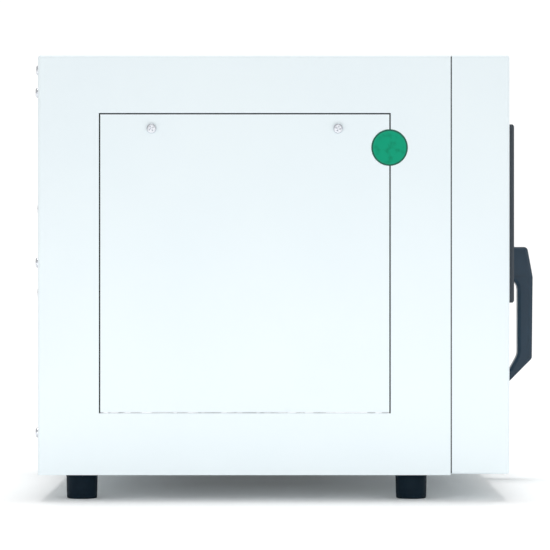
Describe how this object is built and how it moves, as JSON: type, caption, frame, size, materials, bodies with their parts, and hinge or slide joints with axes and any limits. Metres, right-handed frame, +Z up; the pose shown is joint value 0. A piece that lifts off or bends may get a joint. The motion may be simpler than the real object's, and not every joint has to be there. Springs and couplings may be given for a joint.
{
  "type": "reflow oven",
  "caption": "Bench-top reflow oven: white sheet-metal case on rubber feet, side control panel, windowed drawer with a bridge handle, rear exhaust spigot.",
  "frame": {"origin": "on the bench under the middle of the whole object's box, handle and spigot included", "axes": "+Z up; the drawer and control panel face -Y; +X is to the right of someone facing the front"},
  "size_m": [0.4624, 0.4654, 0.378],
  "materials": {
    "case_paint": "fine satin powder coat, white with a faint blue tint",
    "galvanised_steel": "zinc-coated folded sheet",
    "stainless": "brushed stainless sheet, slightly heat-tinted",
    "zinc_screw": "bright zinc plate",
    "black_rubber": "moulded, matt",
    "panel_grey": "fine-textured moulding",
    "handle_black": "fine-textured nylon with a cool cast",
    "seal_green": "printed foil with a mottled guilloche-like pattern",
    "black_plastic": "moulded",
    "tinted_glass": "tinted tempered glass",
    "clear_glass": "clear tempered glass",
    "quartz": "translucent quartz tube",
    "white_ceramic": "unglazed steatite",
    "fibre_board": "ceramic-fibre board",
    "fibre_rope": "woven glass-fibre rope",
    "aluminium": "extruded, clear anodised",
    "lens_plastic": "smoked acrylic",
    "lcd_glass": "display stack",
    "key_grey": "moulded keytop",
    "key_green": "moulded keytop",
    "circuit_board": "solder-masked laminate",
    "relay_black": "potted module",
    "motor_steel": "drawn steel can",
    "shaft_steel": "ground bar"
  },
  "bodies": {
    "root": {"base_plate": "case_paint", "case_cover": "case_paint", "access_frame": "galvanised_steel", "access_cover": "case_paint", "case_screws": "zinc_screw", "qc_seal": "seal_green", "rear_panel": "case_paint", "rubber_feet": "black_rubber", "foot_screws": "zinc_screw", "front_fascia": "case_paint", "front_frame": "galvanised_steel", "bay_wall": "galvanised_steel", "chamber_liner": "stainless", "insulation_boards": "fibre_board", "heater_tubes": "quartz", "heater_end_caps": "white_ceramic", "reflectors": "stainless", "thermocouple": "stainless", "fan_baffle": "stainless", "motor_bracket": "galvanised_steel", "fan_motor": "motor_steel", "exhaust_duct": "galvanised_steel", "exhaust_spigot": "galvanised_steel", "cooling_fan_frame": "black_plastic", "fan_guard": "zinc_screw", "power_inlet": "black_plastic", "switch_housing": "black_plastic", "control_bezel": "panel_grey", "display_lens": "lens_plastic", "lcd_module": "lcd_glass", "control_board": "circuit_board", "heat_sink": "aluminium", "solid_state_relays": "relay_black", "power_supply": "galvanised_steel", "terminal_block": "relay_black", "slide_brackets": "galvanised_steel", "slide_outers": "galvanised_steel", "mouth_gasket": "fibre_rope"},
    "drawer": {"drawer_front": "case_paint", "drawer_inner_panel": "stainless", "drawer_insulation": "fibre_board", "window_trim": "black_plastic", "window_glass": "tinted_glass", "inner_glass": "clear_glass", "handle": "handle_black", "handle_screws": "zinc_screw", "tray_frame": "stainless", "tray_mesh": "stainless", "tray_brackets": "stainless", "drawer_arms": "galvanised_steel", "slide_inners": "galvanised_steel"},
    "slide_middle": {"slide_middles": "galvanised_steel"},
    "convection_fan": {"impeller": "stainless", "fan_shaft": "shaft_steel"},
    "cooling_fan": {"cooling_rotor": "black_plastic"},
    "switch_rocker": {"rocker": "black_plastic"},
    "menu_key": {"key_menu": "key_grey"},
    "up_key": {"key_up": "key_grey"},
    "down_key": {"key_down": "key_grey"},
    "start_key": {"key_start": "key_green"}
  },
  "joints": [
    {"name": "drawer_slide", "type": "slide", "parent": "root", "child": "drawer", "axis": [0, -1, 0], "range_m": [0, 0.24]},
    {"name": "slide_middle_travel", "type": "slide", "parent": "root", "child": "slide_middle", "axis": [0, -1, 0], "range_m": [0, 0.12]},
    {"name": "convection_fan_spin", "type": "hinge", "parent": "root", "child": "convection_fan", "pos_m": [0.05735, 0.11575, 0.228], "axis": [0, 1, 0], "continuous": true},
    {"name": "cooling_fan_spin", "type": "hinge", "parent": "root", "child": "cooling_fan", "pos_m": [-0.17175, 0.19775, 0.212], "axis": [0, 1, 0], "continuous": true},
    {"name": "power_rocker", "type": "hinge", "parent": "root", "child": "switch_rocker", "pos_m": [-0.17175, 0.20625, 0.114], "axis": [1, 0, 0], "range_deg": [0, 18]},
    {"name": "menu_press", "type": "slide", "parent": "root", "child": "menu_key", "axis": [0, 1, 0], "range_m": [0, 0.0007], "stiffness_N_per_m": 500, "springref_m": -0.0004},
    {"name": "up_press", "type": "slide", "parent": "root", "child": "up_key", "axis": [0, 1, 0], "range_m": [0, 0.0007], "stiffness_N_per_m": 500, "springref_m": -0.0004},
    {"name": "down_press", "type": "slide", "parent": "root", "child": "down_key", "axis": [0, 1, 0], "range_m": [0, 0.0007], "stiffness_N_per_m": 500, "springref_m": -0.0004},
    {"name": "start_press", "type": "slide", "parent": "root", "child": "start_key", "axis": [0, 1, 0], "range_m": [0, 0.0007], "stiffness_N_per_m": 500, "springref_m": -0.0004}
  ],
  "couplings": [
    {"joint": "slide_middle_travel", "follows": "drawer_slide", "ratio": 0.5}
  ]
}
